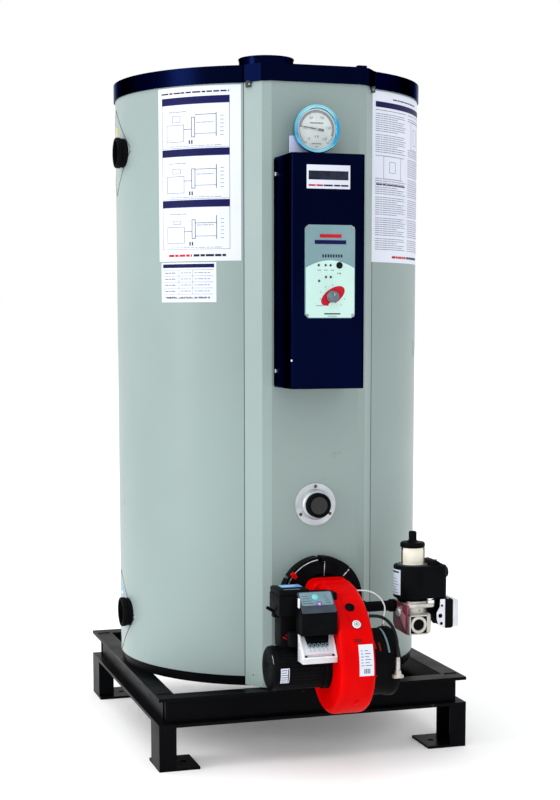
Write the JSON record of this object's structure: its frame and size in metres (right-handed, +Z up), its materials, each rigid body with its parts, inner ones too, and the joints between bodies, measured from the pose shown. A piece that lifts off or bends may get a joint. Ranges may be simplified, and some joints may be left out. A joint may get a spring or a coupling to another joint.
{
  "type": "industrial boiler",
  "caption": "Vertical round hot-water boiler with insulated jacket, lid and flue collar, front control box, gas burner and gas valve, standing on a welded beam frame with feet.",
  "frame": {"origin": "on the floor, on the axis of the round jacket, at the centre of the four anchor holes", "axes": "+Z up along the jacket axis; the control box and burner face -Y; the gas train is on the +X side"},
  "size_m": [0.721, 0.98, 1.561],
  "materials": {
    "frame_black": "semi-gloss black enamel",
    "jacket_grey": "smooth sage-grey powder coat",
    "navy_paint": "glossy navy paint",
    "control_plate": "printed membrane in teal grey and pale mint",
    "knob_grey": "moulded grey plastic",
    "dial_chrome": "polished rim",
    "clear_glass": "clear",
    "pale_steel": "pale grey sheet",
    "dark_glass": "dark sight glass",
    "black_iron": "black painted iron",
    "burner_red": "glossy red enamel",
    "black_plastic": "moulded black",
    "control_grey": "grey-blue cover",
    "clear_plastic": "frosted clear cover",
    "aluminium": "cast and machined",
    "cream_plastic": "cream plated sleeve",
    "conduit_black": "ribbed black conduit",
    "tube_white": "white tube"
  },
  "bodies": {
    "boiler": {"air_intake": "black_plastic", "base_plate": "frame_black", "burner_control": "control_grey", "burner_flange": "black_iron", "burner_housing": "burner_red", "burner_motor": "black_plastic", "burner_tube": "black_iron", "conduit": "conduit_black", "conduit_fitting": "aluminium", "control_box": "navy_paint", "control_plate": "control_plate", "damper_cap": "black_plastic", "damper_cylinder": "cream_plastic", "flue_collar": "navy_paint", "frame_front_beam": "frame_black", "frame_left_beam": "frame_black", "frame_rear_beam": "frame_black", "frame_right_beam": "frame_black", "front_panel": "jacket_grey", "gas_pipe": "black_iron", "gas_valve_body": "aluminium", "gas_valve_coil": "black_plastic", "ignition_box": "black_plastic", "jacket_left": "jacket_grey", "jacket_rear": "jacket_grey", "jacket_right": "jacket_grey", "leg_front_left": "frame_black", "leg_front_right": "frame_black", "leg_rear_left": "frame_black", "leg_rear_right": "frame_black", "motor_cap": "black_plastic", "pressure_switch": "black_plastic", "sensing_tube": "tube_white", "sight_flange": "pale_steel", "sight_glass": "dark_glass", "sight_housing": "black_iron", "switch_bracket": "aluminium", "switch_cover": "clear_plastic", "terminal_box": "clear_plastic", "thermometer_bracket": "pale_steel", "thermometer_case": "dial_chrome", "thermometer_glass": "clear_glass", "top_cap": "navy_paint", "water_port_lower": "black_iron", "water_port_upper": "black_iron"},
    "knob": {"temperature_knob": "knob_grey"}
  },
  "joints": [
    {"name": "temperature_knob_turn", "type": "hinge", "parent": "boiler", "child": "knob", "pos_m": [-0.006, -0.499, 1.009], "axis": [0, -1, 0], "range_deg": [-135, 135]}
  ]
}
